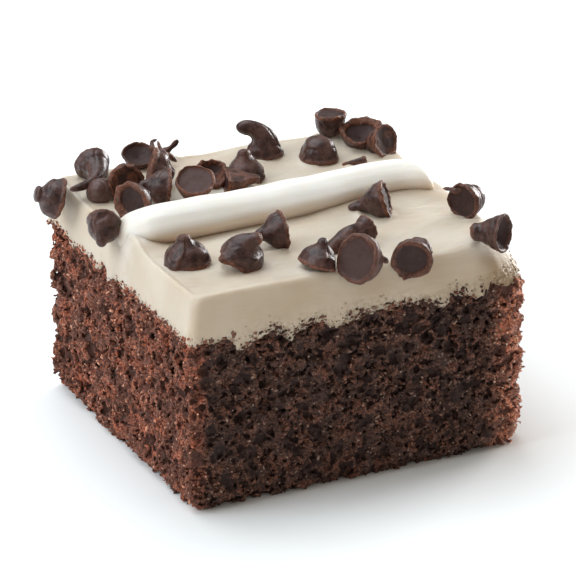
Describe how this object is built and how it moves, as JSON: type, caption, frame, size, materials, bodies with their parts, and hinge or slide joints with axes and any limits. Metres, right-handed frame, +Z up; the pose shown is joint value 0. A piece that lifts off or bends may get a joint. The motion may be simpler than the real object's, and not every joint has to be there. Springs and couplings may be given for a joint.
{
  "type": "cappuccino mini cake",
  "caption": "Square piece of chocolate sponge cake under coffee frosting, with a piped cream stripe and scattered chocolate chips.",
  "frame": {"origin": "middle of the sponge's flat underside", "axes": "+Z up from the surface the cake rests on, +X along the piped cream stripe, -Y towards the wide cut side"},
  "size_m": [0.0676, 0.0622, 0.0438],
  "materials": {
    "sponge": "matte porous crumb",
    "frosting": "satin",
    "cream": "satin",
    "chocolate": "soft gloss"
  },
  "bodies": {
    "root": {"sponge": "sponge", "frosting": "frosting", "cream_stripe": "cream", "chip_01": "chocolate", "chip_02": "chocolate", "chip_03": "chocolate", "chip_04": "chocolate", "chip_05": "chocolate", "chip_06": "chocolate", "chip_07": "chocolate", "chip_08": "chocolate", "chip_09": "chocolate", "chip_10": "chocolate", "chip_11": "chocolate", "chip_12": "chocolate", "chip_13": "chocolate", "chip_14": "chocolate", "chip_15": "chocolate", "chip_16": "chocolate", "chip_17": "chocolate", "chip_18": "chocolate", "chip_19": "chocolate", "chip_20": "chocolate", "chip_21": "chocolate", "chip_22": "chocolate", "chip_23": "chocolate", "chip_24": "chocolate", "chip_25": "chocolate", "chip_26": "chocolate", "chip_27": "chocolate", "chip_28": "chocolate", "chip_29": "chocolate", "chip_30": "chocolate"}
  },
  "joints": []
}
